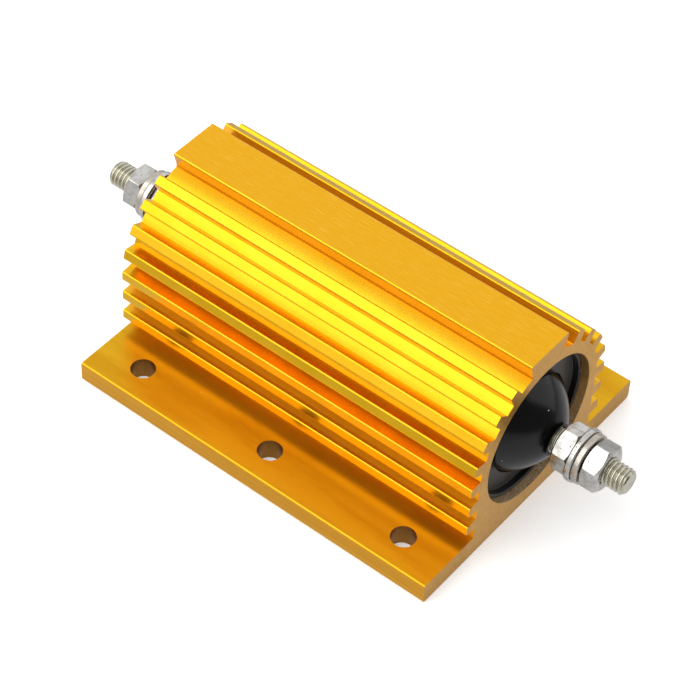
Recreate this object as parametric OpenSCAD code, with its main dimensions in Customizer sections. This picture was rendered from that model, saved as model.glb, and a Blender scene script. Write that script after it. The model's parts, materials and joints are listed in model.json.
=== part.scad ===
// Aluminium housed power resistor: a wound ceramic core potted in a finned
// extrusion with a flanged foot, a moulded bushing and a bolted stud at each end.
// The stud axis runs along X. The foot stands on Z = 0, centred under the part.

/* [Housing] */
// Length of the extrusion along the stud axis
body_len = 92; // [60:0.5:140]
// Width of the flanged foot
flange_w = 73; // [64:0.5:100]
// Thickness of the flanged foot
flange_t = 5.4; // [4:0.1:7]
// Rounding along the two lower long edges of the foot
foot_round = 0.9; // [0.4:0.1:2]
// Rounding along the two upper long edges of the foot
flange_round = 0.45; // [0.2:0.05:1]
// Diameter of the bore that takes the core
bore_d = 34.8; // [28:0.2:42]
// Wall between the bore and the bottom of the fin grooves
wall_t = 2.7; // [2:0.1:4]
// Metal left below the bore
bore_floor_t = 4.1; // [3:0.1:8]

/* [Fins] */
// Height of each fin above its groove
fin_h = 2.9; // [1.5:0.1:5]
// Thickness of a fin where it leaves the wall
fin_root_t = 3; // [2:0.1:4]
// Thickness of a fin at its tip
fin_tip_t = 2.4; // [1.4:0.1:3]
// Rounding of the two tip corners of a fin
fin_round = 0.35; // [0.1:0.05:0.6]
// Angle between the radial fins
fin_step = 15; // [13:0.5:20]
// Number of radial fins on each side, counted up from the level one
radial_fins = 5; // [3:1:5]
// Distance between the level fins below the stud axis
level_pitch = 5.8; // [4.5:0.1:8]
// Number of level fins on each side below the stud axis
level_fins = 2; // [1:1:2]

/* [Marking pad] */
// Width of the flat on top
pad_top_w = 12.8; // [8:0.2:18]
// Width of the pad where it leaves the wall
pad_root_w = 11; // [7:0.2:16]
// Height of the pad above the wall
pad_h = 3.4; // [2:0.1:6]
// Rounding of the two upper corners of the pad
pad_round = 0.4; // [0.1:0.05:0.8]

/* [Mounting holes] */
// Diameter of the holes through the foot
mount_hole_d = 5.5; // [4:0.1:6.6]
// Distance between neighbouring holes along the foot
mount_pitch = 35; // [20:0.5:40]
// Number of holes in each row
mount_count = 3; // [2:1:3]
// Distance between the two rows of holes
mount_rows = 58.2; // [56:0.1:64]

/* [Core] */
// Outer diameter of the ceramic tube
core_d = 22; // [16:0.5:24]
// Bore of the ceramic tube
core_bore_d = 12; // [11:0.5:14]
// Diameter of the resistance wire
wire_d = 0.9; // [0.4:0.05:1.2]
// Distance between neighbouring turns
wire_pitch = 1.5; // [1.3:0.1:3]
// Thickness of the enamel that bonds the turns to the tube
enamel_t = 0.15; // [0.1:0.05:0.3]
// Wall of the pressed end caps
cap_t = 1; // [0.5:0.1:1.5]
// Length of the cap skirt over the tube
cap_skirt = 6; // [3:0.5:10]
// Potting between an end cap and its bushing
cap_cover = 5.3; // [2:0.1:8]

/* [Bushing] */
// Depth of the bushing rim below the end of the housing
rim_recess = 1.85; // [0.5:0.05:3]
// Thickness of the bushing rim
rim_t = 0.9; // [0.6:0.1:1.6]
// Depth of the annular floor below the rim
floor_depth = 1.65; // [1:0.05:4]
// Thickness of the web behind the annular floor
web_t = 2.9; // [1.2:0.1:4]
// Radius of the neck that carries the dome
neck_r = 10.8; // [8:0.1:12]
// Height of the neck above the annular floor
neck_h = 0.9; // [0.5:0.1:3]
// Overhang of the foot of the dome past its neck
dome_lip = 0.9; // [0.1:0.05:1.2]
// Height of the dome above its foot
dome_h = 7.1; // [5:0.1:12]
// Radius of the arc that bulges the flank of the dome
dome_arc_r = 20; // [10:0.5:60]
// Radius of the flat on the end of the dome
dome_tip_r = 3.7; // [3.6:0.1:6]

/* [Terminals] */
// Thread diameter of the studs
stud_d = 6; // [4:0.1:7]
// Chamfer on the free end of a stud
stud_chamfer = 0.65; // [0.2:0.05:0.8]
// Length of a stud beyond the end of its dome
stud_reach = 17.7; // [15:0.1:30]
// Diameter of the stud head welded inside its end cap
head_d = 10; // [8:0.2:10.5]
// Thickness of the stud head
head_t = 2; // [1:0.1:3]
// Bare thread between the front dome and its inner nut
front_standoff = 1.4; // [0.3:0.05:3]
// Bare thread between the rear dome and its inner nut
rear_standoff = 0.4; // [0.3:0.05:3]

/* [Nuts and washers] */
// Distance across the flats of the nuts
nut_af = 9.6; // [9:0.1:14]
// Thickness of a nut
nut_t = 4.2; // [3:0.1:6]
// Diameter that the nut chamfers leave on the end faces
nut_face_d = 9; // [8.6:0.1:13]
// Angle of the nut chamfers
nut_chamfer_angle = 30; // [20:1:35]
// Countersink at both mouths of a nut's thread
nut_countersink = 0.35; // [0.1:0.05:0.6]
// Diameter of the flat washer
washer_d = 12.2; // [11:0.1:16]
// Thickness of the flat washer
washer_t = 1.4; // [0.8:0.1:2]
// Diameter of the spring washer
spring_d = 11.4; // [10:0.1:15]
// Thickness of the spring washer
spring_t = 1.5; // [1:0.1:2.2]
// Width of the split in the spring washer
split_w = 0.8; // [0.4:0.1:1.5]
// Slant of the split
split_angle = 25; // [0:1:40]
// Chamfer on the edges of both washers
washer_chamfer = 0.2; // [0.05:0.05:0.3]

/* [Fits] */
// Radial clearance of round fits
fit_gap = 0.05; // [0.03:0.01:0.15]
// Clearance between a washer and the stud
washer_gap = 0.2; // [0.1:0.05:0.4]

/* [Hidden] */
$fn = 96;

// Small amount by which cutting tools pass the faces they cut
over = 1;

// Radii of the extrusion and the height of the stud axis
bore_r = bore_d / 2;
wall_r = bore_r + wall_t;
axis_z = bore_r + bore_floor_t;
body_top = axis_z + wall_r + pad_h;

// Stations of the bushing along the stud axis, from the end of the housing inwards
end_x = body_len / 2;
rim_x = end_x - rim_recess;
floor_x = rim_x - floor_depth;
web_x = floor_x - web_t;
plug_r = bore_r - fit_gap;
dome_foot_r = neck_r + dome_lip;
dome_foot_x = floor_x + neck_h;
dome_tip_x = dome_foot_x + dome_h;

// Centre of the flank arc, set back square to the chord between foot and flat
dome_fall = dome_foot_r - dome_tip_r;
flank_chord = sqrt(pow(dome_fall, 2) + pow(dome_h, 2));
flank_setback = sqrt(pow(dome_arc_r, 2) - pow(flank_chord / 2, 2));
flank_centre_r = (dome_foot_r + dome_tip_r) / 2 - flank_setback * dome_h / flank_chord;
flank_centre_x = dome_foot_x + dome_h / 2 - flank_setback * dome_fall / flank_chord;

// Stations of the core and its caps
cap_face_x = web_x - cap_cover;
core_end_x = cap_face_x - cap_t;
cap_mouth_x = core_end_x - cap_skirt;
core_r = core_d / 2;
cap_r = core_r + fit_gap + cap_t;
wire_r = wire_d / 2;
wire_centre_r = core_r + fit_gap + enamel_t + wire_r;
turns = floor((2 * cap_mouth_x - wire_pitch) / wire_pitch);
cavity_r = max(cap_r, wire_centre_r + wire_r) + fit_gap;

// Stations of the nuts and washers, outwards from the dome
stud_r = stud_d / 2 - fit_gap;
stud_hole_r = stud_d / 2;
stud_end_x = dome_tip_x + stud_reach;
function inner_nut_x(front) = dome_tip_x + (front ? front_standoff : rear_standoff);
function washer_x(front) = inner_nut_x(front) + nut_t;
function spring_x(front) = washer_x(front) + washer_t;
function outer_nut_x(front) = spring_x(front) + spring_t;

// Turn of each nut about its stud, from +Y towards +Z, as tightened
function inner_nut_turn(front) = front ? 39 : 36;
function outer_nut_turn(front) = front ? 33 : 8;
// Place of the splits in the spring washers about the studs
split_turn = 250;

// Colours of the finishes
gold = "goldenrod";
nickel = "silver";
mould_black = "#1c1c1e";

// Lays what is drawn standing on Z along the stud axis: its own X points along +Y
module along_axis() {
    translate([0, 0, axis_z])
        rotate([90, 0, 90])
            children();
}

// Stands a piece drawn for the front end, and its mirror image for the rear end
module at_end(front) {
    mirror([front ? 0 : 1, 0, 0])
        along_axis()
            children();
}

// The sharp tip that is taken off a corner at the origin, whose two sides
// leave along X and at corner_angle to it, to leave an arc of radius r
module corner_waste(r, corner_angle) {
    reach = r / tan(corner_angle / 2);
    difference() {
        polygon([
            [0, 0],
            [reach, 0],
            [reach, r],
            reach * [cos(corner_angle), sin(corner_angle)]
        ]);
        translate([reach, r])
            circle(r, $fn = 32);
    }
}

// One fin: a tapered rib on the wall, drawn standing on the X axis
module fin_outline() {
    foot = fin_h / 2;
    taper = atan2((fin_root_t - fin_tip_t) / 2, fin_h);
    difference() {
        polygon([
            [-foot, -fin_root_t / 2],
            [0, -fin_root_t / 2],
            [fin_h, -fin_tip_t / 2],
            [fin_h, fin_tip_t / 2],
            [0, fin_root_t / 2],
            [-foot, fin_root_t / 2]
        ]);
        for (side = [0, 1])
            mirror([0, side])
                translate([fin_h, -fin_tip_t / 2])
                    rotate(90)
                        corner_waste(fin_round, 90 + taper);
    }
}

// The fins of one side: radial ones round the barrel and level ones below
module side_fins() {
    for (step = [0 : radial_fins - 1])
        translate([0, axis_z])
            rotate(step * fin_step)
                translate([wall_r, 0])
                    fin_outline();
    for (row = [1 : level_fins])
        translate([wall_r, axis_z - row * level_pitch])
            fin_outline();
}

// The flanged foot, with its four long edges rounded
module foot_outline() {
    difference() {
        translate([-flange_w / 2, 0])
            square([flange_w, flange_t]);
        for (side = [0, 1])
            mirror([side, 0]) {
                translate([flange_w / 2, 0])
                    rotate(90)
                        corner_waste(foot_round, 90);
                translate([flange_w / 2, flange_t])
                    rotate(180)
                        corner_waste(flange_round, 90);
            }
    }
}

// The pad along the top, a little narrower at its root than at its face
module pad_outline() {
    half = pad_top_w / 2;
    root = pad_root_w / 2;
    lean = atan2(half - root, pad_h);
    difference() {
        polygon([
            [-root, body_top - pad_h - wall_t / 2],
            [root, body_top - pad_h - wall_t / 2],
            [root, body_top - pad_h],
            [half, body_top],
            [-half, body_top],
            [-root, body_top - pad_h]
        ]);
        for (side = [0, 1])
            mirror([side, 0])
                translate([half, body_top])
                    rotate(180)
                        corner_waste(pad_round, 90 - lean);
    }
}

// Section of the extrusion, with the bore
module housing_outline() {
    difference() {
        union() {
            foot_outline();
            pad_outline();
            translate([0, axis_z])
                circle(wall_r);
            translate([-wall_r, flange_t / 2])
                square([2 * wall_r, axis_z - flange_t / 2]);
            side_fins();
            mirror([1, 0])
                side_fins();
        }
        translate([0, axis_z])
            circle(bore_r);
    }
}

// The extrusion sawn to length and drilled through its foot
module housing() {
    color(gold)
        difference() {
            rotate([90, 0, 90])
                linear_extrude(body_len, center = true)
                    housing_outline();
            for (side = [-1, 1], hole = [0 : mount_count - 1])
                translate([(hole - (mount_count - 1) / 2) * mount_pitch, side * mount_rows / 2, -over])
                    cylinder(h = flange_t + 2 * over, d = mount_hole_d);
        }
}

// The ceramic tube that carries the winding
module ceramic_core() {
    color("ivory")
        along_axis()
            difference() {
                cylinder(h = 2 * core_end_x, r = core_r, center = true);
                cylinder(h = 2 * core_end_x + over, d = core_bore_d, center = true);
            }
}

// The turns of wire, bonded side by side to the tube by their enamel
module resistance_winding() {
    span = (turns - 1) * wire_pitch;
    color("darkgray")
        along_axis()
            rotate_extrude()
                union() {
                    translate([core_r + fit_gap, -span / 2 - wire_r])
                        square([enamel_t + wire_r, span + wire_d]);
                    for (turn = [0 : turns - 1])
                        translate([wire_centre_r, turn * wire_pitch - span / 2])
                            circle(wire_r, $fn = 24);
                }
}

// The cement that fills the bore round the core and between the bushings
module potting() {
    color("lightgray")
        along_axis()
            difference() {
                cylinder(h = 2 * web_x, r = plug_r, center = true);
                cylinder(h = 2 * cap_face_x, r = cavity_r, center = true);
                cylinder(h = 2 * web_x + over, r = stud_hole_r, center = true);
            }
}

// A pressed cup over the end of the tube, pierced for the stud
module end_cap(front) {
    color(nickel)
        at_end(front)
            difference() {
                translate([0, 0, cap_mouth_x])
                    cylinder(h = cap_face_x - cap_mouth_x, r = cap_r);
                translate([0, 0, cap_mouth_x - over])
                    cylinder(h = cap_skirt + over, r = core_r + fit_gap);
                translate([0, 0, core_end_x - over])
                    cylinder(h = cap_t + 2 * over, r = stud_hole_r);
            }
}

// The moulded bushing: a rimmed plug with a domed boss round the stud
module end_bushing(front) {
    color(mould_black)
        at_end(front)
            rotate_extrude()
                difference() {
                    union() {
                        translate([0, web_x])
                            square([plug_r, web_t]);
                        translate([plug_r - rim_t, web_x])
                            square([rim_t, rim_x - web_x]);
                        translate([0, web_x])
                            square([neck_r, web_t + neck_h]);
                        intersection() {
                            translate([flank_centre_r, flank_centre_x])
                                circle(dome_arc_r);
                            translate([0, dome_foot_x])
                                square([dome_foot_r, dome_h]);
                        }
                    }
                    translate([-over, web_x - over])
                        square([over + stud_hole_r, dome_tip_x - web_x + 2 * over]);
                }
}

// The stud with the head that is welded inside its end cap
module terminal_stud(front) {
    color(nickel)
        at_end(front)
            rotate_extrude()
                polygon([
                    [0, core_end_x - head_t],
                    [head_d / 2, core_end_x - head_t],
                    [head_d / 2, core_end_x],
                    [stud_r, core_end_x],
                    [stud_r, stud_end_x - stud_chamfer],
                    [stud_r - stud_chamfer, stud_end_x],
                    [0, stud_end_x]
                ]);
}

// A hexagon nut with both ends chamfered
module hex_nut(turn) {
    corner_r = nut_af / sqrt(3);
    face_r = nut_face_d / 2;
    drop = (corner_r - face_r) * tan(nut_chamfer_angle);
    difference() {
        intersection() {
            rotate(turn)
                cylinder(h = nut_t, r = corner_r, $fn = 6);
            rotate_extrude()
                polygon([
                    [0, 0],
                    [face_r, 0],
                    [corner_r + over, drop + over * tan(nut_chamfer_angle)],
                    [corner_r + over, nut_t - drop - over * tan(nut_chamfer_angle)],
                    [face_r, nut_t],
                    [0, nut_t]
                ]);
        }
        rotate_extrude()
            polygon([
                [0, -over],
                [stud_hole_r + nut_countersink + over, -over],
                [stud_hole_r, nut_countersink],
                [stud_hole_r, nut_t - nut_countersink],
                [stud_hole_r + nut_countersink + over, nut_t + over],
                [0, nut_t + over]
            ]);
    }
}

// A ring with broken edges that slips over the stud
module washer_ring(outer_d, thickness) {
    outer_r = outer_d / 2;
    inner_r = stud_hole_r + washer_gap;
    rotate_extrude()
        polygon([
            [inner_r, 0],
            [outer_r - washer_chamfer, 0],
            [outer_r, washer_chamfer],
            [outer_r, thickness - washer_chamfer],
            [outer_r - washer_chamfer, thickness],
            [inner_r, thickness]
        ]);
}

// The nut that stands off the bushing
module inner_nut(front) {
    color(nickel)
        at_end(front)
            translate([0, 0, inner_nut_x(front)])
                hex_nut(inner_nut_turn(front));
}

// The plain washer against the inner nut
module flat_washer(front) {
    color(nickel)
        at_end(front)
            translate([0, 0, washer_x(front)])
                washer_ring(washer_d, washer_t);
}

// The spring washer: a ring cut through by a slanted split
module spring_washer(front) {
    color(nickel)
        at_end(front)
            translate([0, 0, spring_x(front)])
                difference() {
                    washer_ring(spring_d, spring_t);
                    rotate(split_turn)
                        translate([spring_d / 2, 0, spring_t / 2])
                            rotate([split_angle, 0, 0])
                                cube([spring_d, split_w, 4 * spring_t], center = true);
                }
}

// The nut that clamps the lug
module outer_nut(front) {
    color(nickel)
        at_end(front)
            translate([0, 0, outer_nut_x(front)])
                hex_nut(outer_nut_turn(front));
}

housing();
ceramic_core();
resistance_winding();
potting();
end_cap(true);  // end_cap_front
end_cap(false);  // end_cap_rear
end_bushing(true);  // end_bushing_front
end_bushing(false);  // end_bushing_rear
terminal_stud(true);  // terminal_stud_front
terminal_stud(false);  // terminal_stud_rear
inner_nut(true);  // inner_nut_front
inner_nut(false);  // inner_nut_rear
flat_washer(true);  // flat_washer_front
flat_washer(false);  // flat_washer_rear
spring_washer(true);  // spring_washer_front
spring_washer(false);  // spring_washer_rear
outer_nut(true);  // outer_nut_front
outer_nut(false);  // outer_nut_rear
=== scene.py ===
"""Looks for an aluminium housed power resistor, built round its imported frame.

The finned extrusion and the sealed pieces inside it are the frame's own nodes
with finishes of their own. The bushings, studs, nuts and washers are surfaces
worked out here, with the rounded edges and the rolled thread of the real ones,
and they stand for the nodes whose places they take. Lengths are in millimetres
up to the point where a mesh is made, and angles in radians unless a name says
degrees.
"""

import json
import logging
from dataclasses import dataclass
from enum import Enum

import bmesh
import bpy
import numpy as np
from bpy.types import Material, Node, NodeSocket, NodeTree, Object, bpy_prop_collection
from mathutils import Matrix, Vector


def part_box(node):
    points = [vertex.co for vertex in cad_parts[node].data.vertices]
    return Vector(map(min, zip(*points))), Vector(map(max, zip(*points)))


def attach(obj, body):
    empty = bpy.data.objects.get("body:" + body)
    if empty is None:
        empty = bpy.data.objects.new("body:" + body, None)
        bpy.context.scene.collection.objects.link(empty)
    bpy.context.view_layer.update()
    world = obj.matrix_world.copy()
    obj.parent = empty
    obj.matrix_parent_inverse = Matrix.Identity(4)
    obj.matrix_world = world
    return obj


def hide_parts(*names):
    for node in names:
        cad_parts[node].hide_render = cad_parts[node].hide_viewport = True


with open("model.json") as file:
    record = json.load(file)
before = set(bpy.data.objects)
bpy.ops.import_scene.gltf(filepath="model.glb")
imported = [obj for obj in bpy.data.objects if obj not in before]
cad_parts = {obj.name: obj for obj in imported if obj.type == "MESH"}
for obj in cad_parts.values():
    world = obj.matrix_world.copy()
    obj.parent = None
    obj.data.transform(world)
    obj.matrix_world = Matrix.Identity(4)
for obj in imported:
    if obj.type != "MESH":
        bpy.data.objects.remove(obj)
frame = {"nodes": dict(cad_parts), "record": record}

LOG = logging.getLogger("resistor")
BODY = "root"
METRES = 0.001
MERGE_GAP = 0.001
FULL_TURN = 2 * np.pi
RING_COLUMNS = 96
CORNER_STEPS = 5
TINY = 1e-6


class End(Enum):
    """The two ends of the part, by the sign of X that they face."""

    FRONT = 1
    REAR = -1

    @property
    def word(self) -> str:
        """The end's name as node names end with it."""
        return self.name.lower()


class Slot(Enum):
    """The record's material slots that the new pieces take their finish from."""

    MOULDING = "black_moulding"
    STUD = "plated_stud"
    NUT = "nickel_plated_steel"
    SPRING = "plated_spring_steel"


# ---------------------------------------------------------------- colour and nodes


def linear(hex_code: str) -> tuple[float, float, float, float]:
    """Turns an sRGB hex colour to linear light.

    Args:
        hex_code: Six hex digits after a hash sign.

    Returns:
        Red, green and blue in linear light, with an alpha of 1.
    """
    srgb = np.array([int(hex_code[i : i + 2], 16) for i in (1, 3, 5)]) / 255
    light = np.where(srgb <= 0.04045, srgb / 12.92, ((srgb + 0.055) / 1.055) ** 2.4)
    return (*light.tolist(), 1.0)


def add(
    tree: NodeTree, kind: str, inputs: dict[str | int, object] | None = None, **settings: object
) -> Node:
    """Adds a shader node with its settings, values and links.

    Args:
        tree: The node tree to add to.
        kind: The node's type name without its ShaderNode prefix.
        inputs: For each input by name or number a value, an output socket, or a
            node whose first output in use is taken.
        **settings: Properties of the node.

    Returns:
        The new node.
    """
    made = tree.nodes.new("ShaderNode" + kind)
    for name, value in settings.items():
        setattr(made, name, value)
    for key, value in (inputs or {}).items():
        if isinstance(value, Node):
            value = next(output for output in value.outputs if output.enabled)
        if isinstance(value, NodeSocket):
            tree.links.new(value, made.inputs[key])
        else:
            made.inputs[key].default_value = value
    return made


@dataclass(frozen=True)
class Finish:
    """What every finish has: a name, and a tree that starts from millimetres."""

    name: str

    def start(self) -> tuple[Material, NodeTree, Node]:
        """Makes an empty node material.

        Returns:
            The material, its tree, and a node with Object coordinates in
            millimetres.
        """
        material = bpy.data.materials.new(self.name)
        material.use_nodes = True
        tree = material.node_tree
        tree.nodes.clear()
        place = add(tree, "TexCoord").outputs["Object"]
        in_mm = add(tree, "VectorMath", {0: place, "Scale": 1 / METRES}, operation="SCALE")
        return material, tree, in_mm

    @staticmethod
    def facing(tree: NodeTree) -> bpy_prop_collection:
        """Measures how squarely a surface faces along each axis, either way.

        Args:
            tree: The material's tree.

        Returns:
            Outputs "X", "Y" and "Z", which are 1 where it faces along that axis.
        """
        normal = add(tree, "TexCoord").outputs["Normal"]
        either_way = add(tree, "VectorMath", {0: normal}, operation="ABSOLUTE")
        return add(tree, "SeparateXYZ", {0: either_way}).outputs

    @staticmethod
    def two_tone(
        tree: NodeTree, pattern: Node, limits: tuple[float, float], hexes: tuple[str, str]
    ) -> Node:
        """Colours a pattern with two tones that pass into each other.

        Args:
            tree: The material's tree.
            pattern: The pattern.
            limits: Its values at which the second tone begins and is full.
            hexes: The two tones.

        Returns:
            The colour.
        """
        begins, full = limits
        share = add(tree, "MapRange", {"Value": pattern, "From Min": begins, "From Max": full})
        tones = {"A": linear(hexes[0]), "B": linear(hexes[1])}
        return add(tree, "Mix", {"Factor": share, **tones}, data_type="RGBA")

    @staticmethod
    def specks(
        tree: NodeTree, place: Node, spacing: float, share: float, radii: tuple[float, float]
    ) -> Node:
        """Scatters round specks, no more than one to a cell.

        Distances in the cells count in cells, so a radius is divided by the
        spacing.

        Args:
            tree: The material's tree.
            place: Object coordinates in millimetres.
            spacing: How far apart the cells lie.
            share: How many of the cells have a speck, from 0 to 1.
            radii: How far a speck is full, and how far it reaches.

        Returns:
            A mask that is 1 on the specks and 0 between them.
        """
        cell = add(tree, "TexVoronoi", {"Vector": place, "Scale": 1 / spacing})
        chance = add(tree, "SeparateColor", {0: cell.outputs["Color"]})
        taken = add(tree, "Math", {0: chance, 1: 1 - share}, operation="GREATER_THAN")
        full, outer = (radius / spacing for radius in radii)
        fall = {"From Min": full, "From Max": outer, "To Min": 1.0, "To Max": 0.0}
        depth = add(tree, "MapRange", {"Value": cell, **fall})
        return add(tree, "Math", {0: taken, 1: depth}, operation="MULTIPLY")

    @staticmethod
    def end(tree: NodeTree, inputs: dict[str, object]) -> None:
        """Closes a tree with a Principled shader.

        Args:
            tree: The material's tree.
            inputs: Values and links for the shader.
        """
        shader = add(tree, "BsdfPrincipled", inputs)
        add(tree, "OutputMaterial", {"Surface": shader})


# ---------------------------------------------------------------- finishes


@dataclass(frozen=True)
class HousingSize:
    """Where the housing's finish finds its faces, in millimetres."""

    pad_z: float
    foot_y: float
    axis_z: float
    bore_r: float
    hole_pitch: float
    hole_row: float
    hole_r: float

    @classmethod
    def read(cls) -> "HousingSize":
        """Reads the sizes from the frame.

        Returns:
            The sizes.
        """
        dims = {mount["name"]: mount["dims"] for mount in frame["record"]["mounts"]}
        corners = dims["foot_holes_outer"]
        plug_low, plug_high = np.array(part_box("end_bushing_front")) / METRES
        return cls(
            pad_z=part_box("housing")[1][2] / METRES,
            foot_y=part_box("housing")[1][1] / METRES,
            axis_z=(plug_low[2] + plug_high[2]) / 2,
            bore_r=(plug_high[2] - plug_low[2]) / 2,
            hole_pitch=corners["spacing_x_mm"] / 2,
            hole_row=corners["spacing_y_mm"] / 2,
            hole_r=corners["hole_r_mm"],
        )


@dataclass(frozen=True)
class Grain:
    """Noise with grains of a real size, in millimetres along X, Y and Z."""

    size: tuple[float, float, float]
    detail: float
    roughness: float


class Mark(Enum):
    """The marks on the extrusion, by how each was made.

    The lines of the die run the whole length, brush strokes a few millimetres,
    and the marks of the saw's teeth stand upright on the ends. All three are
    drawn three or four times as coarse as they are, so that they show.
    """

    DIE_LINE = Grain((70.0, 0.4, 0.4), 3.0, 0.6)
    BRUSH_STROKE = Grain((5.0, 0.1, 0.1), 2.0, 0.7)
    SAW_TOOTH = Grain((0.45, 0.45, 1.8), 4.0, 0.65)
    DYE_CLOUD = Grain((8.33, 8.33, 8.33), 5.0, 0.6)
    DYE_SMEAR = Grain((26.0, 4.0, 4.0), 4.0, 0.6)
    CEMENT_CRUST = Grain((0.4167, 0.4167, 0.4167), 6.0, 0.75)


@dataclass(frozen=True)
class Skin:
    """How one kind of face looks. What is None stays as it is under the skin.

    The mark carries the second tone, from the first of its limits to the
    second, and the relief, which is its depth in millimetres.
    """

    hexes: tuple[str, str]
    mark: Mark
    limits: tuple[float, float]
    roughness: float | None = None
    metallic: float | None = None
    relief: float | None = None


class Face(Enum):
    """The kinds of face on the extrusion, in the order in which they are laid on.

    Where light is caught between faces, in the grooves below the axis and on
    the walls beside the pad, the dyed oxide scatters a little of it, so these
    faces aren't fully metallic, and the foot is between them and the rest. The
    pad is brushed, the long edges of the foot are matt, the ends are sawn, and
    cement has left the mouth of the bore rough and pale.
    """

    GROOVE = Skin(("#ebb422", "#e0a81c"), Mark.DYE_SMEAR, (0.42, 0.66), 0.34, 0.62)
    WALL = Skin(("#dc9c16", "#d09010"), Mark.DIE_LINE, (0.4, 0.65), metallic=0.62)
    FOOT = Skin(("#dca81a", "#d09810"), Mark.DYE_SMEAR, (0.42, 0.66), 0.33, 0.88)
    PAD = Skin(("#e8aa1c", "#f7cb56"), Mark.BRUSH_STROKE, (0.53, 0.76), 0.27, relief=0.007)
    EDGE = Skin(("#d79619", "#dfa52e"), Mark.DIE_LINE, (0.4, 0.65), 0.4)
    SAWN = Skin(("#d9a44e", "#ca9640"), Mark.SAW_TOOTH, (0.4, 0.65), 0.42, relief=0.01)
    DRILLED = Skin(("#94611f", "#b98340"), Mark.BRUSH_STROKE, (0.42, 0.62), 0.36)
    MOUTH = Skin(("#c2924f", "#e8dfca"), Mark.CEMENT_CRUST, (0.55, 0.76), 0.55, relief=0.15)


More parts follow.
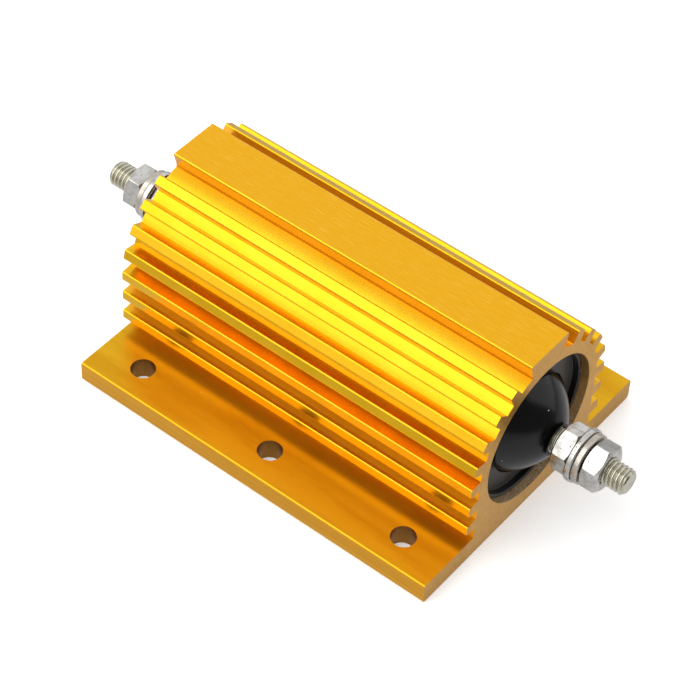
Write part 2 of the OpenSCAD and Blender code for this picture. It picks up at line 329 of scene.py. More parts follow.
@dataclass(frozen=True)
class AnodisedExtrusion(Finish):
    """Extruded 6063 aluminium, sawn, drilled, gold-dyed and anodised.

    To the eye: a deep yellow metal that mirrors softly along its die lines, a
    paler pad with short brush strokes, sawn ends that are matt and browner,
    brown drillings, and a mouth of the bore that cement has left rough. Specks
    of pale dust lie on all of it.

    A surface faces an axis squarely where that part of its normal is past
    square_on, or level_on for Z. A gap is how far a mask reaches past its face.
    """

    name: str = "gold_anodised_aluminium"
    hexes: tuple[str, str] = ("#e9b425", "#e0ad1e")
    limits: tuple[float, float] = (0.35, 0.65)
    roughness: float = 0.22
    relief: float = 0.0025
    dust_hex: str = "#f5ead0"
    dust_spacing: float = 5.0
    dust_share: float = 0.28
    dust_radii: tuple[float, float] = (0.109, 0.111)
    settled: float = 0.12
    square_on: float = 0.8
    level_on: float = 0.9
    face_gap: float = 0.3
    edge_gap: float = 0.2
    hole_gap: float = 0.15
    wall_h: float = 5.0
    groove_y: float = 22.1
    groove_blend: float = 0.5

    def masks(self, tree: NodeTree, place: Node, size: HousingSize) -> dict[Face, Node]:
        """Finds the faces from their places and from the axes that they face.

        Most masks are a product of two tests. A drilling is what lies close to
        a hole's axis without being level, and the mouth is what lies close to
        the bore's axis without being sawn. X is wrapped at the holes' pitch, so
        that one distance serves for a whole row.

        Args:
            tree: The material's tree.
            place: Object coordinates in millimetres.
            size: Where the housing's faces lie.

        Returns:
            For each kind of face a mask that is 1 on it.
        """
        out = self.facing(tree)
        at = add(tree, "SeparateXYZ", {0: place}).outputs
        side = add(tree, "Math", {0: at["Y"]}, operation="ABSOLUTE")
        wrap = {0: at["X"], 1: size.hole_pitch / 2, 2: -size.hole_pitch / 2}
        along = add(tree, "Math", wrap, operation="WRAP")
        off_row = add(tree, "Math", {0: side, 1: size.hole_row}, operation="SUBTRACT")
        to_hole = add(tree, "CombineXYZ", {"X": along, "Y": off_row})
        from_hole = add(tree, "VectorMath", {0: to_hole}, operation="LENGTH")
        up = add(tree, "Math", {0: at["Z"], 1: size.axis_z}, operation="SUBTRACT")
        spoke = add(tree, "CombineXYZ", {"Y": at["Y"], "Z": up})
        from_axis = add(tree, "VectorMath", {0: spoke}, operation="LENGTH")
        sawn, level, upright, top, shoulder, edge = (
            add(tree, "Math", {0: value, 1: limit}, operation="GREATER_THAN")
            for value, limit in (
                (out["X"], self.square_on),
                (out["Z"], self.level_on),
                (out["Y"], self.square_on),
                (at["Z"], size.pad_z - self.face_gap),
                (at["Z"], size.pad_z - self.wall_h),
                (side, size.foot_y - self.edge_gap),
            )
        )
        below, low, in_bore, at_hole = (
            add(tree, "Math", {0: value, 1: limit}, operation="LESS_THAN")
            for value, limit in (
                (at["Z"], size.axis_z),
                (at["Z"], size.axis_z / 2),
                (from_axis, size.bore_r + self.face_gap),
                (from_hole, size.hole_r + self.hole_gap),
            )
        )
        starts, stops = self.groove_y + self.groove_blend, self.groove_y - self.groove_blend
        within = add(tree, "MapRange", {"Value": side, "From Min": starts, "From Max": stops})
        found = {Face.EDGE: edge, Face.SAWN: sawn}
        for face, first, second, operation in (
            (Face.GROOVE, within, below, "MULTIPLY"),
            (Face.WALL, upright, shoulder, "MULTIPLY"),
            (Face.FOOT, level, low, "MULTIPLY"),
            (Face.PAD, level, top, "MULTIPLY"),
            (Face.DRILLED, at_hole, level, "SUBTRACT"),
            (Face.MOUTH, in_bore, sawn, "SUBTRACT"),
        ):
            both = {0: first, 1: second}
            found[face] = add(tree, "Math", both, operation=operation, use_clamp=True)
        return found

    def marks(self, tree: NodeTree, place: Node, size: HousingSize) -> dict[Mark, Node]:
        """Adds the marks, each read at the place divided by the size of its grain.

        The cement ran down before it set, so its crust is raised by a share
        that grows from 0 at the bore's axis to settled at its lowest point.

        Args:
            tree: The material's tree.
            place: Object coordinates in millimetres.
            size: Where the housing's faces lie.

        Returns:
            The noise of each mark.
        """
        made = {}
        for mark in Mark:
            grain = mark.value
            scale = tuple(1 / length for length in grain.size)
            spot = add(tree, "Mapping", {"Vector": place, "Scale": scale})
            form = {"Scale": 1.0, "Detail": grain.detail, "Roughness": grain.roughness}
            made[mark] = add(tree, "TexNoise", {"Vector": spot, **form})
        height = add(tree, "SeparateXYZ", {0: place}).outputs["Z"]
        span = {"From Min": size.axis_z - size.bore_r, "From Max": size.axis_z}
        rise = {"To Min": self.settled, "To Max": 0.0}
        raised = add(tree, "MapRange", {"Value": height, **span, **rise})
        crust = {0: made[Mark.CEMENT_CRUST], 1: raised}
        made[Mark.CEMENT_CRUST] = add(tree, "Math", crust, operation="ADD")
        return made

    def build(self, size: HousingSize) -> Material:
        """Makes the material: the drawn surface, then each face's skin, then dust.

        Args:
            size: Where the housing's faces lie.

        Returns:
            The material.
        """
        material, tree, place = self.start()
        masks = self.masks(tree, place, size)
        marks = self.marks(tree, place, size)
        colour = self.two_tone(tree, marks[Mark.DYE_CLOUD], self.limits, self.hexes)
        worked = marks[Mark.DIE_LINE]
        gloss = {"roughness": self.roughness, "metallic": 1.0, "relief": self.relief}
        for face in Face:
            skin, mask = face.value, masks[face]
            mark = marks[skin.mark]
            own = self.two_tone(tree, mark, skin.limits, skin.hexes)
            cover = {"Factor": mask, "A": colour, "B": own}
            colour = add(tree, "Mix", cover, data_type="RGBA")
            if skin.relief is not None:
                worked = add(tree, "Mix", {"Factor": mask, "A": worked, "B": mark})
            for channel, under in gloss.items():
                value = getattr(skin, channel)
                if value is not None:
                    cover = {"Factor": mask, "A": under, "B": value}
                    gloss[channel] = add(tree, "Mix", cover)
        dust = self.specks(tree, place, self.dust_spacing, self.dust_share, self.dust_radii)
        cover = {"Factor": dust, "A": colour, "B": linear(self.dust_hex)}
        colour = add(tree, "Mix", cover, data_type="RGBA")
        height = add(tree, "Math", {0: worked, 1: gloss.pop("relief")}, operation="MULTIPLY")
        bump = add(tree, "Bump", {"Height": height, "Strength": 1.0, "Distance": METRES})
        gloss = {channel.title(): value for channel, value in gloss.items()}
        self.end(tree, {"Base Color": colour, **gloss, "Normal": bump})
        return material


@dataclass(frozen=True)
class PlatedMetal(Finish):
    """Steel with a bright plating, stamped or turned before it was plated.

    To the eye: a bright grey metal with soft reflections, cloudy in places and
    marked with small dark pits. The pits are drawn twice their real size, so
    that they show.
    """

    tint_hex: str = "#c9c7c3"
    cloud_hex: str = "#a19d97"
    pit_hex: str = "#5d554a"
    roughness: float = 0.22
    roughness_shares: tuple[float, float] = (0.8, 1.35)
    cloud_width: float = 2.2
    cloud_limits: tuple[float, float] = (0.45, 0.7)
    pit_spacing: float = 0.8
    pitted: float = 0.3
    pit_radii: tuple[float, float] = (0.064, 0.16)
    pit_depth: float = 0.03
    relief: float = 0.004

    def build(self) -> Material:
        """Makes the material. It is rougher where it is cloudy.

        Returns:
            The material.
        """
        material, tree, place = self.start()
        form = {"Scale": 1 / self.cloud_width, "Detail": 6.0, "Roughness": 0.65}
        cloud = add(tree, "TexNoise", {"Vector": place, **form})
        hexes = (self.tint_hex, self.cloud_hex)
        plating = self.two_tone(tree, cloud, self.cloud_limits, hexes)
        pit = self.specks(tree, place, self.pit_spacing, self.pitted, self.pit_radii)
        cover = {"Factor": pit, "A": plating, "B": linear(self.pit_hex)}
        colour = add(tree, "Mix", cover, data_type="RGBA")
        begins, full = self.cloud_limits
        least, most = (self.roughness * share for share in self.roughness_shares)
        span = {"From Min": begins, "From Max": full, "To Min": least, "To Max": most}
        roughness = add(tree, "MapRange", {"Value": cloud, **span})
        sunk = add(tree, "Math", {0: pit, 1: -self.pit_depth}, operation="MULTIPLY")
        skin = {0: cloud, 1: self.relief, 2: sunk}
        height = add(tree, "Math", skin, operation="MULTIPLY_ADD")
        bump = add(tree, "Bump", {"Height": height, "Strength": 1.0, "Distance": METRES})
        gloss = {"Metallic": 1.0, "Roughness": roughness, "Normal": bump}
        self.end(tree, {"Base Color": colour, **gloss})
        return material


@dataclass(frozen=True)
class BlackMoulding(Finish):
    """Black phenolic, compression moulded.

    To the eye: a dome polished nearly black with a few specks of dust, and a
    matt floor and rim where the mould wasn't polished, their grey colour a painted
    reflection of the pale table. Its index is lower than phenolic's own, which
    holds back the sheen on the dome.
    """

    name: str = "black_moulding"
    dome_hex: str = "#070707"
    # Painted reflection: the grey of floor and rim stands in for the pale table mirrored in them.
    floor_painted_reflection_hex: str = "#413f3d"
    dome_roughness: float = 0.19
    floor_roughness: float = 0.4
    flat_limits: tuple[float, float] = (0.9, 0.99)
    ior: float = 1.39
    grain_scale: float = 5.0
    grain_depth: float = 0.01
    dust_hex: str = "#c9c8c2"
    dust_roughness: float = 0.8
    dust_spacing: float = 3.2
    dust_share: float = 0.45
    dust_radii: tuple[float, float] = (0.175, 0.177)

    def build(self) -> Material:
        """Makes the material: floor and rim are what faces squarely along X, and
        their grey colour is a painted reflection of the table.

        Returns:
            The material.
        """
        material, tree, place = self.start()
        begins, full = self.flat_limits
        faced = {"Value": self.facing(tree)["X"], "From Min": begins, "From Max": full}
        flat = add(tree, "MapRange", faced)
        # The grey on the flat faces is a painted reflection of the pale table.
        cover = {"Factor": flat, "A": linear(self.dome_hex), "B": linear(self.floor_painted_reflection_hex)}
        colour = add(tree, "Mix", cover, data_type="RGBA")
        dust = self.specks(tree, place, self.dust_spacing, self.dust_share, self.dust_radii)
        cover = {"Factor": dust, "A": colour, "B": linear(self.dust_hex)}
        colour = add(tree, "Mix", cover, data_type="RGBA")
        cover = {"Factor": flat, "A": self.dome_roughness, "B": self.floor_roughness}
        roughness = add(tree, "Mix", cover)
        cover = {"Factor": dust, "A": roughness, "B": self.dust_roughness}
        roughness = add(tree, "Mix", cover)
        form = {"Scale": self.grain_scale, "Detail": 3.0}
        grain = add(tree, "TexNoise", {"Vector": place, **form})
        height = add(tree, "Math", {0: grain, 1: flat}, operation="MULTIPLY")
        depth = {"Strength": 0.5, "Distance": self.grain_depth * METRES}
        bump = add(tree, "Bump", {"Height": height, **depth})
        gloss = {"Roughness": roughness, "IOR": self.ior, "Normal": bump}
        self.end(tree, {"Base Color": colour, **gloss})
        return material


@dataclass(frozen=True)
class FiredBody(Finish):
    """A fired or set mineral body, such as steatite or silicate cement.

    To the eye: a pale matt solid with fine darker grains and small hollows.
    """

    body_hex: str = "#e6dfcf"
    grain_hex: str = "#c9bfa9"
    roughness: float = 0.75
    grain_width: float = 0.6
    grain_limits: tuple[float, float] = (0.45, 0.7)
    relief: float = 0.03

    def build(self) -> Material:
        """Makes the material.

        Returns:
            The material.
        """
        material, tree, place = self.start()
        form = {"Scale": 1 / self.grain_width, "Detail": 5.0, "Roughness": 0.7}
        grain = add(tree, "TexNoise", {"Vector": place, **form})
        hexes = (self.body_hex, self.grain_hex)
        colour = self.two_tone(tree, grain, self.grain_limits, hexes)
        height = add(tree, "Math", {0: grain, 1: self.relief}, operation="MULTIPLY")
        bump = add(tree, "Bump", {"Height": height, "Strength": 1.0, "Distance": METRES})
        self.end(tree, {"Base Color": colour, "Roughness": self.roughness, "Normal": bump})
        return material


# ---------------------------------------------------------------- surfaces


def rounded(corners: np.ndarray, radii: np.ndarray) -> np.ndarray:
    """Rounds every corner of one or more closed outlines.

    Each corner gives way to an arc of its radius that touches both sides. With
    the unit vectors to the two neighbours a and b, and half the angle between
    them h, the arc's ends lie radius / tan(h) along a and b, its centre lies
    radius / sin(h) along their bisector, and its points are a spherical blend
    of the directions from the centre to the two ends.

    Args:
        corners: The outlines' corners, shaped (..., corners, 2).
        radii: A radius for each corner. At 0 the corner stays sharp.

    Returns:
        The points, shaped (..., corners * CORNER_STEPS, 2).
    """
    before = np.roll(corners, 1, axis=-2) - corners
    after = np.roll(corners, -1, axis=-2) - corners
    before /= np.linalg.norm(before, axis=-1, keepdims=True)
    after /= np.linalg.norm(after, axis=-1, keepdims=True)
    half = np.arccos(np.clip((before * after).sum(-1), -1, 1))[..., None] / 2
    bisector = before + after
    bisector /= np.maximum(np.linalg.norm(bisector, axis=-1, keepdims=True), TINY)
    radius = np.broadcast_to(radii, corners.shape[:-1])[..., None]
    centre = bisector * radius / np.sin(half)
    reach = radius / np.tan(half)
    first = (before * reach - centre)[..., None, :]
    last = (after * reach - centre)[..., None, :]
    sweep = np.maximum(np.pi - 2 * half, TINY)[..., None, :]
    step = np.linspace(0, 1, CORNER_STEPS)[:, None]
    arc = (first * np.sin((1 - step) * sweep) + last * np.sin(step * sweep)) / np.sin(sweep)
    points = (corners + centre)[..., None, :] + arc
    return points.reshape(*corners.shape[:-2], -1, 2)


def surface(name: str, grid: np.ndarray, close_rows: bool, close_columns: bool) -> Object:
    """Makes a closed piece from a grid of points.

    Neighbouring points become four-sided faces. Points that coincide, as at a
    pole or a seam, are merged, and the faces are turned outwards.

    Args:
        name: The piece's name.
        grid: The points in millimetres, shaped (rows, columns, 3).
        close_rows: Whether the last row joins the first.
        close_columns: Whether the last column joins the first.

    Returns:
        The piece, in metres, at the origin.
    """
    rows, columns = grid.shape[:2]
    row = np.arange(rows if close_rows else rows - 1)[:, None]
    column = np.arange(columns if close_columns else columns - 1)[None, :]
    next_row, next_column = (row + 1) % rows, (column + 1) % columns
    corners = [
        row * columns + column,
        row * columns + next_column,
        next_row * columns + next_column,
        next_row * columns + column,
    ]
    quads = np.stack(corners, axis=-1).reshape(-1, 4).astype(np.int32)
    mesh = bpy.data.meshes.new(name)
    mesh.vertices.add(rows * columns)
    mesh.vertices.foreach_set("co", (grid * METRES).astype(np.float32).ravel())
    mesh.loops.add(quads.size)
    mesh.loops.foreach_set("vertex_index", quads.ravel())
    mesh.polygons.add(len(quads))
    mesh.polygons.foreach_set("loop_start", np.arange(0, quads.size, 4, dtype=np.int32))
    mesh.update(calc_edges=True)
    work = bmesh.new()
    work.from_mesh(mesh)
    bmesh.ops.remove_doubles(work, verts=work.verts, dist=MERGE_GAP * METRES)
    bmesh.ops.recalc_face_normals(work, faces=work.faces)
    work.to_mesh(mesh)
    work.free()
    mesh.polygons.foreach_set("use_smooth", np.ones(len(mesh.polygons), dtype=bool))
    mesh.update()
    piece = bpy.data.objects.new(name, mesh)
    bpy.context.scene.collection.objects.link(piece)
    return piece


@dataclass
class StudPiece:
    """A piece that is carried on the stud axis at one end of the part."""

    end: End

    def place(self, node: str) -> tuple[float, float, float, float]:
        """Reads where one of the frame's nodes lies.

        Args:
            node: The node's name without its end.

        Returns:
            Its inner and outer station from the middle, its outer radius, and
            the height of the stud axis, in millimetres.
        """
        low, high = (np.array(corner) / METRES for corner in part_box(f"{node}_{self.end.word}"))
        inner, outer = sorted((abs(low[0]), abs(high[0])))
        stud_low, stud_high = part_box(f"terminal_stud_{self.end.word}")
        height = (stud_low[2] + stud_high[2]) / 2 / METRES
        return inner, outer, (high[1] - low[1]) / 2, height

    def at(
        self, along: np.ndarray, radius: np.ndarray, turn: np.ndarray, height: float
    ) -> np.ndarray:
        """Places points given by station, radius and turn about the stud axis.

        A point is (side * along, radius * cos(turn), height + radius * sin(turn)),
        where side is 1 at the front and -1 at the rear.

        Args:
            along: Stations from the middle of the part.
            radius: Distances from the stud axis.
            turn: Angles from +Y towards +Z.
            height: Height of the stud axis.

        Returns:
            The points, shaped (..., 3).
        """
        along, radius, turn = np.broadcast_arrays(along, radius, turn)
        out = self.end.value * along
        return np.stack([out, radius * np.cos(turn), height + radius * np.sin(turn)], axis=-1)

    def seat(self, piece: Object, node: str, slot: Slot, look: Material) -> Object:
        """Dresses a piece and lets it stand for its node.

        Args:
            piece: The finished piece.
            node: The name of the node that it stands for, without its end.
            slot: The record's slot that its finish comes from. Not used.
            look: Its material.

        Returns:
            The piece.
        """
        piece.data.materials.append(look)
        weighted = piece.modifiers.new("edge_light", "WEIGHTED_NORMAL")
        weighted.weight = 100
        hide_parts(f"{node}_{self.end.word}")
        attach(piece, BODY)
        LOG.info("%s: %d faces", piece.name, len(piece.data.polygons))
        return piece


@dataclass
class Bushing(StudPiece):
    """The moulded plug in the end of the bore: a rim, an annular floor and a dome."""

    rim_t: float = 0.9
    floor_depth: float = 1.65
    web_t: float = 2.9
    neck_r: float = 10.8
    neck_h: float = 0.9
    dome_lip: float = 0.9
    dome_arc_r: float = 20.0
    dome_tip_r: float = 3.7
    dome_round: float = 0.08
    dome_points: int = 40
    stud_hole_r: float = 3.0

    def flank(self, foot: np.ndarray, tip: np.ndarray) -> np.ndarray:
        """Draws the dome's flank, an arc of dome_arc_r from its foot to its flat end.

        The arc's centre is set back from the middle of the chord, square to it,
        by the root of the arc's radius squared less half the chord squared.

        Args:
            foot: Station and radius of the foot.
            tip: Station and radius of the edge of the flat end.

        Returns:
            The points as station and radius.
        """
        chord = tip - foot
        length = np.linalg.norm(chord)
        outward = np.array([-chord[1], chord[0]]) / length
        centre = (foot + tip) / 2 - outward * np.sqrt(self.dome_arc_r**2 - length**2 / 4)
        start, stop = (np.arctan2(*(point - centre)[::-1]) for point in (foot, tip))
        turn = np.linspace(start, stop, self.dome_points)
        return centre + self.dome_arc_r * np.stack([np.cos(turn), np.sin(turn)], axis=-1)

    def outline(self, inner: float, outer: float, plug_r: float) -> tuple[np.ndarray, np.ndarray]:
        """Draws half the bushing's section.

        Args:
            inner: Station of the web's hidden face.
            outer: Station of the dome's flat end.
            plug_r: Radius of the plug.

        Returns:
            The corners as station and radius, and a rounding radius for each.
        """
        floor_x = inner + self.web_t
        rim_x = floor_x + self.floor_depth
        foot_x = floor_x + self.neck_h
        lip_r = plug_r - self.rim_t
        foot = np.array([foot_x, self.neck_r + self.dome_lip])
        dome = self.flank(foot, np.array([outer, self.dome_tip_r]))
        soft = np.zeros((self.dome_points, 1))
        soft[[0, -1]] = self.dome_round
        # The third column is the rounding radius
        plug = [
            (inner, self.stud_hole_r, 0.1),
            (inner, plug_r, 0.2),
            (rim_x, plug_r, 0.22),
            (rim_x, lip_r, 0.3),
            (floor_x, lip_r, 0.2),
            (floor_x, self.neck_r, 0.2),
            (foot_x, self.neck_r, 0.1),
        ]
        mouth = [(outer, self.stud_hole_r, 0.15)]
        corners = np.concatenate([plug, np.hstack([dome, soft]), mouth])
        return corners[:, :2], corners[:, 2]

    def build(self, look: Material) -> Object:
        """Turns the section about the stud axis.

        Args:
            look: The bushing's material.

        Returns:
            The piece.
        """
        inner, outer, plug_r, height = self.place("end_bushing")
        section = rounded(*self.outline(inner, outer, plug_r))
        turns = np.linspace(0, FULL_TURN, RING_COLUMNS, endpoint=False)
        grid = self.at(section[:, :1], section[:, 1:], turns, height)
        piece = surface(f"moulded_bushing_{self.end.word}", grid, True, True)
        return self.seat(piece, "end_bushing", Slot.MOULDING, look)


@dataclass
class Stud(StudPiece):
    """The terminal stud: a welded head, a plain shank and a rolled thread."""

    crest_r: float = 2.95
    head_t: float = 2.0
    head_round: float = 0.2
    shank: float = 7.0
    pitch: float = 1.0
    thread_depth: float = 0.62
    crest_flat: float = 0.1
    end_chamfer: float = 0.65
    end_face: float = 0.9
    rows_per_pitch: int = 14
    columns: int = 72

    def thread_form(self, phase: np.ndarray) -> np.ndarray:
        """Gives the height of the thread, from 0 in its root to 1 on its crest.

        A triangular wave is cut off level at its top, crest_flat of its height,
        and stretched back to 1. With that wave w the form is w * (2 - w), which
        rounds the crest and leaves the root narrow.

        Args:
            phase: The place within one pitch, from 0 to 1.

        Returns:
            The height at each place.
        """
        peak = 1 - np.abs(2 * (phase % 1) - 1)
        wave = np.minimum(peak / (1 - self.crest_flat), 1)
        return wave * (2 - wave)

    def build(self, look: Material) -> Object:
        """Sweeps the stud along its helix.

        The rows follow the helix: station = row + pitch * turn / full turn, so
        a crest lies along a row. Stations past either end are held there, where
        the rows fall together. The radius is the crest's, less the depth of the
        thread, and no more than the cone of the end chamfer. The end is flat from
        end_face of its radius inwards.

        Args:
            look: The stud's material.

        Returns:
            The piece.
        """
        inner, outer, head_r, height = self.place("terminal_stud")
        neck = inner + self.head_t
        tip_r = self.crest_r - self.end_chamfer
        turns = np.linspace(0, FULL_TURN, self.columns + 1)
        spacing = self.pitch / self.rows_per_pitch
        rows = np.arange(neck - self.pitch, outer + spacing, spacing)[:, None]
        along = np.clip(rows + self.pitch * turns / FULL_TURN, neck, outer)
        cut = np.clip((along - neck - self.shank) / self.pitch, 0, 1)
        relief = 1 - self.thread_form((rows - neck) / self.pitch)
        radius = self.crest_r - self.thread_depth * cut * relief
        radius = np.minimum(radius, tip_r + outer - along)
        ease = self.head_round
        head = [(inner, 0), (inner, head_r - ease), (inner + ease, head_r)]
        head = np.array([*head, (neck - ease, head_r), (neck, head_r - ease)])
        tip = np.array([(outer, tip_r * self.end_face), (outer, 0)])
        level = np.ones(self.columns + 1)
        along = np.concatenate([head[:, :1] * level, along, tip[:, :1] * level])
        radius = np.concatenate([head[:, 1:] * level, radius, tip[:, 1:] * level])
        grid = self.at(along, radius, turns, height)
        piece = surface(f"threaded_stud_{self.end.word}", grid, False, False)
        return self.seat(piece, "terminal_stud", Slot.STUD, look)


@dataclass
class HexNut(StudPiece):
    """A hexagon nut with both ends chamfered, its corners eased by plating."""

    node: str
    turn_degrees: float
    across_flats: float = 9.6
    face_r: float = 4.5
    chamfer_degrees: float = 30.0
    hole_r: float = 3.0
    countersink: float = 0.35
    mouth_round: float = 0.05
    face_round: float = 0.12
    side_round: float = 0.15
    corner_softness: float = 0.06
    crowding: float = 0.93
    least_lean: float = 0.05
    columns_per_side: int = 18

    def around(self) -> tuple[np.ndarray, np.ndarray]:
        """Gives the columns' turns and the distance from the axis to the side.

        Within each side the turn is t - crowding * sin(full turn * t) / full
        turn of the side's sixth, which crowds the columns at the corners. The
        distance is a soft least of the distances to the six flats,
        -s * log(sum of exp(-distance / s)), which rounds the corners. A flat
        that lies along the column, or behind it, is put out of its reach.

        Returns:
            The turns and the distances.
        """
        share = np.arange(6 * self.columns_per_side) / self.columns_per_side
        side, t = np.divmod(share, 1)
        t -= self.crowding * np.sin(FULL_TURN * t) / FULL_TURN
        turns = np.radians(self.turn_degrees) + (side + t) * FULL_TURN / 6
        flats = np.radians(self.turn_degrees + 30 + 60 * np.arange(6))
        lean = np.cos(turns[:, None] - flats)
        away = self.across_flats / 2 / np.maximum(lean, self.least_lean)
        soft = self.corner_softness
        return turns, -soft * np.log(np.exp(-away / soft).sum(axis=1))

    def build(self, look: Material) -> Object:
        """Carries the nut's section round the stud, its width following the hexagon.

        Args:
            look: The nut's material.

        Returns:
            The piece.
        """
        inner, outer, _, height = self.place(self.node)
        turns, side_r = self.around()
        drop = (side_r - self.face_r) * np.tan(np.radians(self.chamfer_degrees))
        flat = np.ones_like(side_r)
        mouth_r = self.hole_r + self.countersink
        corners = [
            (inner * flat, mouth_r * flat),
            (inner * flat, self.face_r * flat),
            (inner + drop, side_r),
            (outer - drop, side_r),
            (outer * flat, self.face_r * flat),
            (outer * flat, mouth_r * flat),
            ((outer - self.countersink) * flat, self.hole_r * flat),
            ((inner + self.countersink) * flat, self.hole_r * flat),
        ]
        outline = np.stack([np.stack(corner, axis=-1) for corner in corners], axis=-2)
        end = [self.mouth_round, self.face_round, self.side_round]
        radii = np.array([*end, *reversed(end), self.mouth_round, self.mouth_round])
        section = rounded(outline, radii).transpose(1, 0, 2)
        grid = self.at(section[..., 0], section[..., 1], turns, height)
        name = self.node.replace("nut", "hexagon_nut")
        piece = surface(f"{name}_{self.end.word}", grid, True, True)
        return self.seat(piece, self.node, Slot.NUT, look)


@dataclass
class Washer(StudPiece):
    """A stamped flat washer."""

    hole_r: float = 3.2
    edge_round: float = 0.3
    hole_round: float = 0.15

    def section(self, node: str) -> tuple[np.ndarray, float]:
        """Draws the ring's section.

        Args:
            node: The name of the node that it stands for, without its end.

        Returns:
            The points as station and radius, and the height of the stud axis.
        """
        inner, outer, outer_r, height = self.place(node)
        inside = [(inner, self.hole_r), (inner, outer_r)]
        corners = np.array([*inside, (outer, outer_r), (outer, self.hole_r)])
        radii = [self.hole_round, self.edge_round, self.edge_round, self.hole_round]
        return rounded(corners, np.array(radii)), height

    def build(self, look: Material) -> Object:
        """Turns the section about the stud axis.

        Args:
            look: The washer's material.

        Returns:
            The piece.
        """
        section, height = self.section("flat_washer")
        turns = np.linspace(0, FULL_TURN, RING_COLUMNS, endpoint=False)
        grid = self.at(section[:, :1], section[:, 1:], turns, height)
        piece = surface(f"plain_washer_{self.end.word}", grid, True, True)
        return self.seat(piece, "flat_washer", Slot.NUT, look)


@dataclass
class SplitWasher(Washer):
    """A spring washer, cut through by a slanted split."""

    split_w: float = 0.8
    split_degrees: float = 25.0
    split_turn_degrees: float = 250.0

    def build(self, look: Material) -> Object:
        """Carries the section from one side of the split round to the other.

        At each end the turn is shifted by half the split's width and by its
        slant over the thickness, both divided by the radius, so that the cut
        is straight. The end rows fall together in the middle of the section.

        Args:
            look: The washer's material.

        Returns:
            The piece.
        """
        section, height = self.section("spring_washer")
        station, radius = section[:, :1], section[:, 1:]
        middle = section.mean(axis=0)
        slant = np.tan(np.radians(self.split_degrees)) * (station - middle[0])
        start = (slant + self.split_w / 2) / radius
        stop = FULL_TURN + (slant - self.split_w / 2) / radius
        share = np.linspace(0, 1, RING_COLUMNS)
        turns = np.radians(self.split_turn_degrees) + start + (stop - start) * share
        grid = self.at(station, radius, turns, height)
        caps = grid[:, [0, -1]].mean(axis=0, keepdims=True).repeat(len(grid), axis=0)
        grid = np.concatenate([caps[:, :1], grid, caps[:, 1:]], axis=1)
        piece = surface(f"split_washer_{self.end.word}", grid, True, False)
        return self.seat(piece, "spring_washer", Slot.SPRING, look)


@dataclass
class TerminalSet:
    """Everything on the stud axis at one end: bushing, stud, nuts and washers."""

    end: End
    inner_turn_degrees: float
    outer_turn_degrees: float

    def build(self, looks: dict[Slot, Material]) -> None:
        """Builds the set from the bushing outwards.

        Args:
            looks: The material of each slot.
        """
        Bushing(self.end).build(looks[Slot.MOULDING])
        Stud(self.end).build(looks[Slot.STUD])
        HexNut(self.end, "inner_nut", self.inner_turn_degrees).build(looks[Slot.NUT])
        Washer(self.end).build(looks[Slot.NUT])
        SplitWasher(self.end).build(looks[Slot.SPRING])
        HexNut(self.end, "outer_nut", self.outer_turn_degrees).build(looks[Slot.NUT])


def dress(node: str, look: Material) -> None:
    """Gives one of the frame's own nodes its finish.

    Args:
        node: The node's name.
        look: Its material.
    """
    mesh = frame["nodes"][node].data
    mesh.materials.clear()
    mesh.materials.append(look)
    LOG.info("%s: %s", node, look.name)


# ---------------------------------------------------------------- studio


@dataclass(frozen=True)
class Panel:
    """A long flat light of the tunnel that stands round the part's long axis."""

    name: str
    turns: tuple[float, float]
    span: tuple[float, float]
    radiance: float


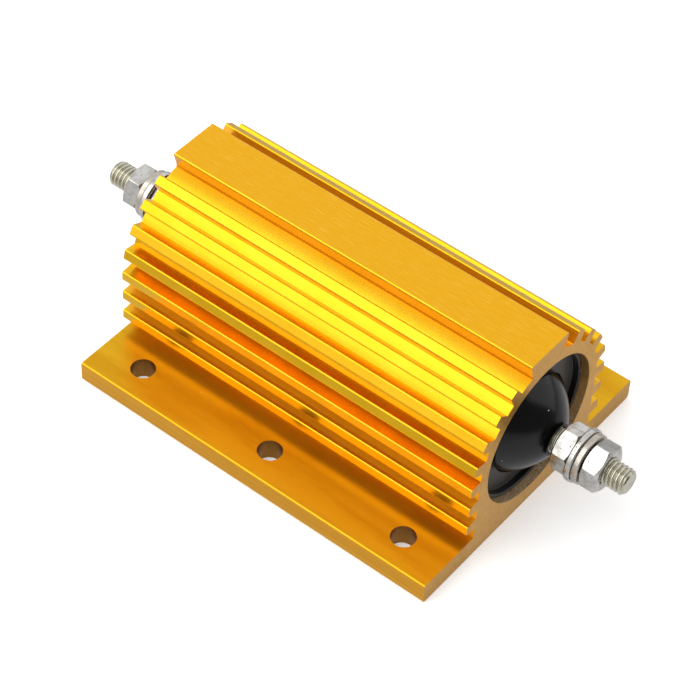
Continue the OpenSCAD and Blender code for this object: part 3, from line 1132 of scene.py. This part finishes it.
@dataclass
class Studio:
    """The pale table, the soft lights and the camera.

    A panel's turns are where its long edges lie, in degrees about X from +Y
    towards +Z, and its span where its short edges lie along X, in metres. Its
    radiance is how bright its face looks, where a lit white table is about 1.
    All but the first end soon past the front, which leaves the dome dark.
    """

    azimuth_degrees: float = 35.68
    elevation_degrees: float = 47.33
    roll_degrees: float = 3.79
    distance: float = 538.0
    aim: tuple[float, float, float] = (3.9, -8.5, 22.0)
    lens: float = 134.1
    clip: tuple[float, float] = (0.01, 50.0)
    tunnel_r: float = 1.0
    panels: tuple[Panel, ...] = (
        Panel("back_panel", (5, 78), (-1.2, 1.5), 0.88),
        Panel("ridge_panel", (79, 97), (-1.2, 0.6), 0.95),
        Panel("top_panel", (99, 127), (-1.2, 0.25), 2.6),
        Panel("shoulder_panel", (128, 160), (-1.2, 0.25), 2.0),
        Panel("low_panel", (161, 179), (-1.2, 0.25), 1.2),
    )
    room_light: float = 0.18
    rear_light: float = 0.7
    rear_limits: tuple[float, float] = (-0.85, -0.55)
    sheet_r: float = 6.0
    sheet_sides: int = 64
    sheet_roughness: float = 0.9
    shade_limits: tuple[float, float] = (50.0, 105.0)

    def camera(self) -> None:
        """Sets the camera up, aimed at a point and rolled a little about its view."""
        turn, lift = np.radians((self.azimuth_degrees, self.elevation_degrees))
        level = np.cos(lift)
        back = Vector((np.sin(turn) * level, -np.cos(turn) * level, np.sin(lift)))
        data = bpy.data.cameras.new("camera")
        data.lens = self.lens
        data.clip_start, data.clip_end = self.clip
        camera = bpy.data.objects.new("camera", data)
        upright = (-back).to_track_quat("-Z", "Y").to_matrix()
        rolled = upright @ Matrix.Rotation(np.radians(self.roll_degrees), 3, "Z")
        camera.rotation_mode = "QUATERNION"
        camera.rotation_quaternion = rolled.to_quaternion()
        camera.location = (Vector(self.aim) + back * self.distance) * METRES
        bpy.context.scene.collection.objects.link(camera)
        bpy.context.scene.camera = camera

    def light(self, panel: Panel) -> None:
        """Hangs a panel in the tunnel.

        It touches the tunnel's circle halfway between its two turns, and it is
        2 * radius * tan(half their difference) wide.

        Args:
            panel: The panel.
        """
        low, high = np.radians(panel.turns)
        middle = (low + high) / 2
        width = 2 * self.tunnel_r * np.tan((high - low) / 2)
        length = panel.span[1] - panel.span[0]
        data = bpy.data.lights.new(panel.name, "AREA")
        data.shape = "RECTANGLE"
        data.size, data.size_y = length, width
        data.energy = panel.radiance * np.pi * length * width
        light = bpy.data.objects.new(panel.name, data)
        out = Vector((0, np.cos(middle), np.sin(middle)))
        along = Vector((1, 0, 0))
        columns = Matrix((along, out.cross(along), out)).transposed()
        light.location = out * self.tunnel_r + along * sum(panel.span) / 2
        light.rotation_mode = "QUATERNION"
        light.rotation_quaternion = columns.to_quaternion()
        light.visible_camera = False
        bpy.context.scene.collection.objects.link(light)

    def sheet(self, name: str, height: float, hexes: tuple[str, str], glow: float) -> Object:
        """Lays a wide round sheet of matt paper, shaded towards its sides.

        Args:
            name: The sheet's name.
            height: How high it lies, in millimetres.
            hexes: Its colour by the part, and further out on both long sides.
            glow: How much light it gives off by itself.

        Returns:
            The sheet.
        """
        edge = np.linspace(0, FULL_TURN, self.sheet_sides, endpoint=False)
        lift = np.full_like(edge, height * METRES / self.sheet_r)
        ring = np.stack([np.cos(edge), np.sin(edge), lift], axis=-1) * self.sheet_r
        mesh = bpy.data.meshes.new(name)
        mesh.from_pydata(ring.tolist(), [], [list(range(self.sheet_sides))])
        paper, tree, place = Finish(name).start()
        across = add(tree, "SeparateXYZ", {0: place}).outputs["Y"]
        out = add(tree, "Math", {0: across}, operation="ABSOLUTE")
        colour = Finish.two_tone(tree, out, self.shade_limits, hexes)
        white = {"Emission Color": linear("#ffffff"), "Emission Strength": glow}
        matt = {"Base Color": colour, "Roughness": self.sheet_roughness}
        Finish.end(tree, {**matt, **white})
        mesh.materials.append(paper)
        sheet = bpy.data.objects.new(name, mesh)
        bpy.context.scene.collection.objects.link(sheet)
        return sheet

    def table(self) -> None:
        """Lays white paper, and under it grey paper that only reflections see.

        The white sheet is as bright as the lights, and metal that mirrored it
        would lose its darker sides, so reflections pass it and meet the grey one.
        """
        white = self.sheet("white_paper", 0.0, ("#fbfbfb", "#fbfbfb"), glow=0.3)
        white.visible_glossy = white.visible_shadow = False
        grey = self.sheet("grey_paper", -0.5, ("#f4f4f4", "#d8d8d8"), glow=0.0)
        grey.visible_camera = grey.visible_diffuse = False

    def surroundings(self) -> None:
        """Fills the rest of the room with a dim light, brighter past the rear end."""
        world = bpy.data.worlds.new("room")
        world.use_nodes = True
        tree = world.node_tree
        tree.nodes.clear()
        direction = add(tree, "TexCoord").outputs["Generated"]
        along = add(tree, "SeparateXYZ", {0: direction}).outputs["X"]
        full, gone = self.rear_limits
        fall = {"To Min": self.rear_light, "To Max": self.room_light}
        light = add(tree, "MapRange", {"Value": along, "From Min": full, "From Max": gone, **fall})
        room = add(tree, "Background", {"Color": linear("#ffffff"), "Strength": light})
        add(tree, "OutputWorld", {"Surface": room})
        bpy.context.scene.world = world

    def build(self) -> None:
        """Sets up the whole studio."""
        self.camera()
        self.table()
        self.surroundings()
        for panel in self.panels:
            self.light(panel)
        bpy.context.scene.view_settings.view_transform = "Standard"


def main() -> None:
    """Builds the studio and the part."""
    logging.basicConfig(level=logging.INFO, format="%(message)s")
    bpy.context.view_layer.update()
    Studio().build()
    plated_stud = PlatedMetal("plated_stud", "#c6c3b4", "#b3af9c", roughness=0.25, pitted=0.1)
    spring_steel = PlatedMetal("plated_spring_steel", "#bdb7ac", "#a39c90", roughness=0.3)
    looks = {
        Slot.MOULDING: BlackMoulding().build(),
        Slot.STUD: plated_stud.build(),
        Slot.NUT: PlatedMetal("nickel_plated_steel").build(),
        Slot.SPRING: spring_steel.build(),
    }
    TerminalSet(End.FRONT, inner_turn_degrees=39, outer_turn_degrees=33).build(looks)
    TerminalSet(End.REAR, inner_turn_degrees=36, outer_turn_degrees=8).build(looks)
    dress("housing", AnodisedExtrusion().build(HousingSize.read()))
    cap = PlatedMetal("plated_cap", "#bcb8b0", "#a9a59c", roughness=0.3).build()
    wire = PlatedMetal("resistance_wire", "#7b736a", "#62594f", roughness=0.38, pitted=0.05)
    cement_hexes = ("#c4c0b6", "#a19b8d")
    cement = FiredBody("silicate_cement", *cement_hexes, roughness=0.9, grain_width=0.9)
    for node, look in (
        ("ceramic_core", FiredBody("steatite").build()),
        ("resistance_winding", wire.build()),
        ("potting", cement.build()),
        ("end_cap_front", cap),
        ("end_cap_rear", cap),
    ):
        dress(node, look)


if __name__ == "__main__":
    main()
